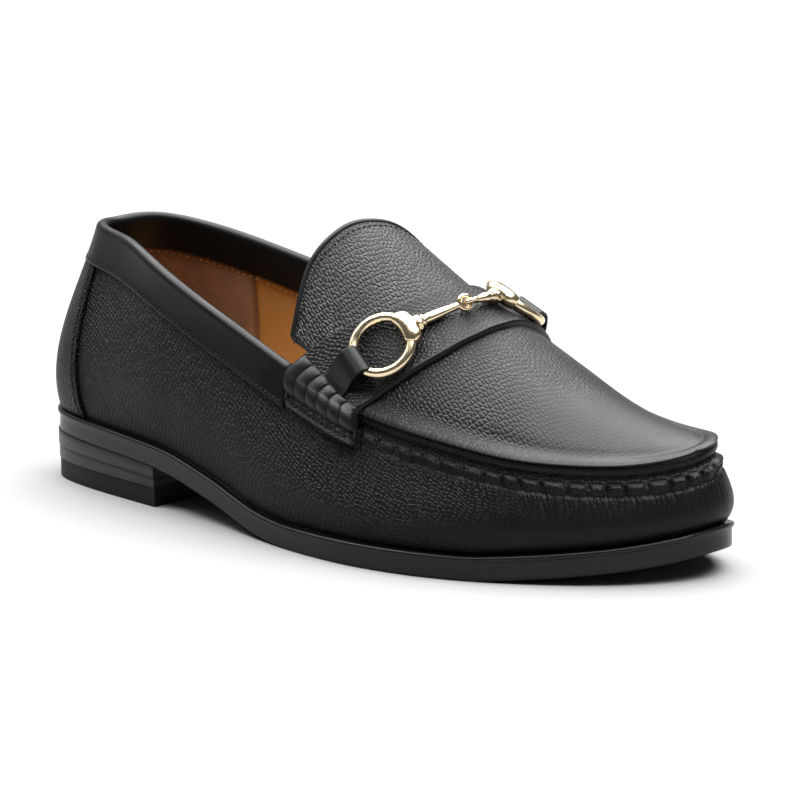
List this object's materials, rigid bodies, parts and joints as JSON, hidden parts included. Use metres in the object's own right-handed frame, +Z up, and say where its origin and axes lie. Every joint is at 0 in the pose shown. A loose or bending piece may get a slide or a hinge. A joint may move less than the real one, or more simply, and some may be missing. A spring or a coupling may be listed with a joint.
{
  "type": "bit loafer",
  "caption": "Low slip-on leather shoe with a raised moccasin seam, a saddle strap carrying a gilt snaffle bit, and a stacked heel; right foot",
  "frame": {"origin": "the middle of the heel's flat underside, on the ground, about 36 mm ahead of the sole's back", "axes": "+X towards the toe, +Y towards the inner (medial) side, +Z up from the ground"},
  "size_m": [0.2993, 0.1076, 0.1122],
  "materials": {
    "grained_leather": "black pebble-grained leather with a low sheen",
    "smooth_leather": "smooth black leather, satin",
    "sole_edge": "black dyed and waxed leather edge, satin",
    "rubber": "black heel rubber, matt",
    "insole_leather": "smooth tan leather",
    "gilt_brass": "polished pale gold plating"
  },
  "bodies": {
    "root": {"outsole": "sole_edge", "top_lift": "rubber", "heel_lift_2": "sole_edge", "heel_lift_1": "sole_edge", "insole": "insole_leather", "upper": "grained_leather", "tongue": "grained_leather", "collar_band": "smooth_leather", "heel_counter": "grained_leather", "saddle": "grained_leather", "bit_ring_lateral": "gilt_brass", "bit_ring_medial": "gilt_brass", "bit_bar_lateral": "gilt_brass", "bit_bar_medial": "gilt_brass", "keeper_lateral": "smooth_leather", "keeper_medial": "smooth_leather"}
  },
  "joints": []
}
